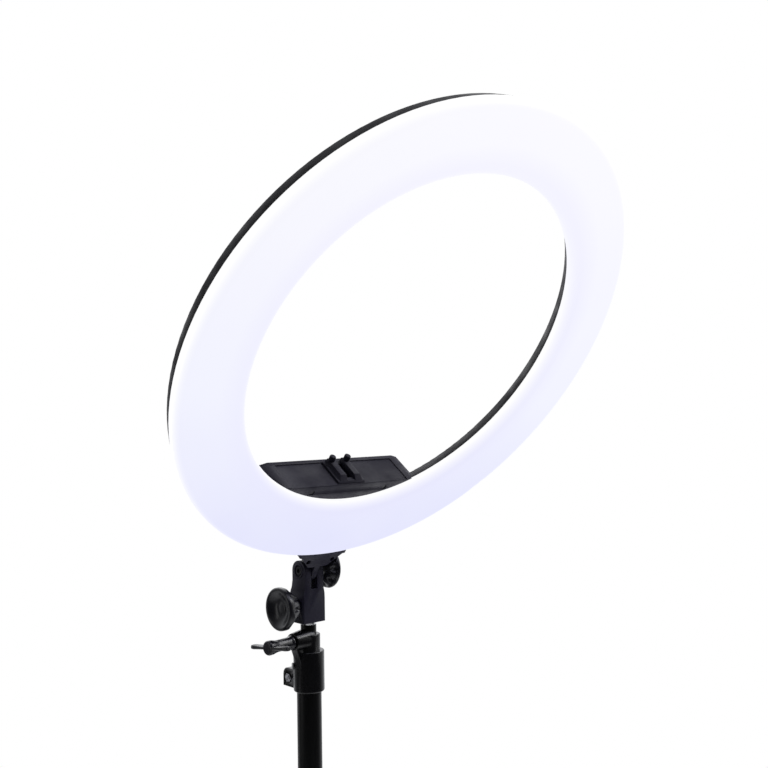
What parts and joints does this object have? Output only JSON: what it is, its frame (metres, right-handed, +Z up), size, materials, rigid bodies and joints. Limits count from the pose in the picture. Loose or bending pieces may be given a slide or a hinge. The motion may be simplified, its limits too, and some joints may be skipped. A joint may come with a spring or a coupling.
{
  "type": "ring light",
  "caption": "Ring light on a folding stand: a lit ring with a control box at its foot, a tilting fork and a telescopic column on legs.",
  "frame": {"origin": "the point on the floor under the stand's centre column", "axes": "+Z up along the column, the light faces -Y and down, and +X is to the right of someone looking at its front"},
  "size_m": [0.8, 0.6953, 1.316],
  "materials": {
    "opal_diffuser": "satin opal acrylic, lit from behind",
    "shell_plastic": "fine spark texture",
    "housing_plastic": "fine spark texture",
    "circuit_board": "white solder mask",
    "warm_led": "phosphor over a white package",
    "cool_led": "phosphor over a white package",
    "smoked_window": "polished, smoked",
    "component_plastic": "moulded",
    "steel_hardware": "zinc plated",
    "black_screw": "black oxide",
    "control_plastic": "fine moulded",
    "cable_jacket": "smooth",
    "bracket_plastic": "satin glass-filled nylon",
    "knob_plastic": "semi-gloss",
    "bright_steel": "turned and plated",
    "black_tube": "black anodised",
    "collar_plastic": "semi-gloss nylon",
    "glide_nylon": "natural nylon",
    "foot_rubber": "matt rubber"
  },
  "bodies": {
    "base": {"base_tube": "black_tube", "column_plug": "foot_rubber", "brace_hub": "collar_plastic", "brace_hub_pins": "steel_hardware", "lower_collar": "collar_plastic", "lower_collar_bolt": "steel_hardware"},
    "lower_clamp": {"lower_wing_knob": "knob_plastic", "lower_wing_screw": "steel_hardware"},
    "leg_slider": {"leg_hub": "collar_plastic", "leg_hub_pins": "steel_hardware"},
    "leg_clamp": {"leg_hub_knob": "knob_plastic", "leg_hub_screw": "steel_hardware"},
    "mid_section": {"mid_tube": "black_tube", "mid_tube_glide": "glide_nylon", "upper_collar": "collar_plastic", "upper_collar_bolt": "steel_hardware"},
    "upper_clamp": {"upper_wing_knob": "knob_plastic", "upper_wing_screw": "steel_hardware"},
    "top_section": {"top_tube": "black_tube", "top_tube_glide": "glide_nylon", "spigot": "bright_steel"},
    "fork": {"yoke": "bracket_plastic", "tilt_bolt": "black_screw", "tilt_washers": "steel_hardware"},
    "fork_clamp": {"clamp_knob": "knob_plastic", "clamp_stud": "steel_hardware"},
    "tilt_clamp": {"tilt_knob": "knob_plastic"},
    "head": {"diffuser": "opal_diffuser", "back_shell": "shell_plastic", "led_board": "circuit_board", "warm_leds": "warm_led", "cool_leds": "cool_led", "shell_screws": "steel_hardware", "control_housing": "housing_plastic", "rear_panel": "housing_plastic", "display_window": "smoked_window", "display_module": "component_plastic", "driver_board": "circuit_board", "board_components": "component_plastic", "dial_encoders": "component_plastic", "rocker_frame": "control_plastic", "dc_socket": "control_plastic", "box_screws": "black_screw", "internal_cable": "cable_jacket", "head_bracket": "bracket_plastic", "bracket_screws": "black_screw"},
    "brightness_control": {"brightness_dial": "control_plastic"},
    "colour_control": {"colour_dial": "control_plastic"},
    "power_switch": {"power_rocker": "control_plastic"},
    "leg_1_body": {"leg_1": "black_tube", "foot_1": "foot_rubber"},
    "brace_1_body": {"brace_1": "black_tube"},
    "leg_2_body": {"leg_2": "black_tube", "foot_2": "foot_rubber"},
    "brace_2_body": {"brace_2": "black_tube"},
    "leg_3_body": {"leg_3": "black_tube", "foot_3": "foot_rubber"},
    "brace_3_body": {"brace_3": "black_tube"}
  },
  "joints": [
    {"name": "leg_spread", "type": "slide", "parent": "base", "child": "leg_slider", "axis": [0, 0, 1], "range_m": [0, 0.21371]},
    {"name": "leg_1_fold", "type": "hinge", "parent": "leg_slider", "child": "leg_1_body", "pos_m": [0, -0.026, 0.27396], "axis": [1, 0, 0], "range_deg": [0, 52.1]},
    {"name": "brace_1_fold", "type": "hinge", "parent": "base", "child": "brace_1_body", "pos_m": [0, -0.026, 0.0302], "axis": [1, 0, 0], "range_deg": [-52.1, 0]},
    {"name": "leg_2_fold", "type": "hinge", "parent": "leg_slider", "child": "leg_2_body", "pos_m": [0.02252, 0.013, 0.27396], "axis": [-0.5, 0.866, 0], "range_deg": [0, 52.1]},
    {"name": "brace_2_fold", "type": "hinge", "parent": "base", "child": "brace_2_body", "pos_m": [0.02252, 0.013, 0.0302], "axis": [-0.5, 0.866, 0], "range_deg": [-52.1, 0]},
    {"name": "leg_3_fold", "type": "hinge", "parent": "leg_slider", "child": "leg_3_body", "pos_m": [-0.02252, 0.013, 0.27396], "axis": [-0.5, -0.866, 0], "range_deg": [0, 52.1]},
    {"name": "brace_3_fold", "type": "hinge", "parent": "base", "child": "brace_3_body", "pos_m": [-0.02252, 0.013, 0.0302], "axis": [-0.5, -0.866, 0], "range_deg": [-52.1, 0]},
    {"name": "leg_clamp_turn", "type": "hinge", "parent": "leg_slider", "child": "leg_clamp", "pos_m": [0, 0.029, 0.28096], "axis": [0, 1, 0], "range_deg": [-540, 0]},
    {"name": "mid_section_slide", "type": "slide", "parent": "base", "child": "mid_section", "axis": [0, 0, 1], "range_m": [-0.15, 0.25]},
    {"name": "lower_clamp_turn", "type": "hinge", "parent": "base", "child": "lower_clamp", "pos_m": [0, 0, 0.6145], "axis": [-0.9945, -0.1045, 0], "range_deg": [-540, 0]},
    {"name": "top_section_slide", "type": "slide", "parent": "mid_section", "child": "top_section", "axis": [0, 0, 1], "range_m": [-0.003, 0.38]},
    {"name": "upper_clamp_turn", "type": "hinge", "parent": "mid_section", "child": "upper_clamp", "pos_m": [0, 0, 0.8325], "axis": [-0.9945, -0.1045, 0], "range_deg": [-540, 0]},
    {"name": "fork_swivel", "type": "hinge", "parent": "top_section", "child": "fork", "pos_m": [0, 0, 0.85], "axis": [0, 0, 1], "continuous": true},
    {"name": "fork_clamp_turn", "type": "hinge", "parent": "fork", "child": "fork_clamp", "pos_m": [-0.0155, 0, 0.867], "axis": [-1, 0, 0], "range_deg": [-540, 0]},
    {"name": "tilt_clamp_turn", "type": "hinge", "parent": "fork", "child": "tilt_clamp", "pos_m": [0.0124, 0, 0.902], "axis": [1, 0, 0], "range_deg": [-540, 0]},
    {"name": "head_tilt", "type": "hinge", "parent": "fork", "child": "head", "pos_m": [0, 0, 0.902], "axis": [1, 0, 0], "range_deg": [-126, 53]},
    {"name": "brightness_turn", "type": "hinge", "parent": "head", "child": "brightness_control", "pos_m": [-0.048, -0.01721, 0.98388], "axis": [0, 0.8028, 0.5962], "range_deg": [-150, 150]},
    {"name": "colour_turn", "type": "hinge", "parent": "head", "child": "colour_control", "pos_m": [0.048, -0.01721, 0.98388], "axis": [0, 0.8028, 0.5962], "range_deg": [-150, 150]},
    {"name": "power_rock", "type": "hinge", "parent": "head", "child": "power_switch", "pos_m": [0, -0.01007, 0.97175], "axis": [0, -0.5962, 0.8028], "range_deg": [-6, 6]}
  ],
  "couplings": [
    {"joint": "leg_1_fold", "follows": "leg_spread", "rad_per_m": 4.2466},
    {"joint": "brace_1_fold", "follows": "leg_spread", "rad_per_m": -4.2466},
    {"joint": "leg_2_fold", "follows": "leg_spread", "rad_per_m": 4.2466},
    {"joint": "brace_2_fold", "follows": "leg_spread", "rad_per_m": -4.2466},
    {"joint": "leg_3_fold", "follows": "leg_spread", "rad_per_m": 4.2466},
    {"joint": "brace_3_fold", "follows": "leg_spread", "rad_per_m": -4.2466}
  ]
}
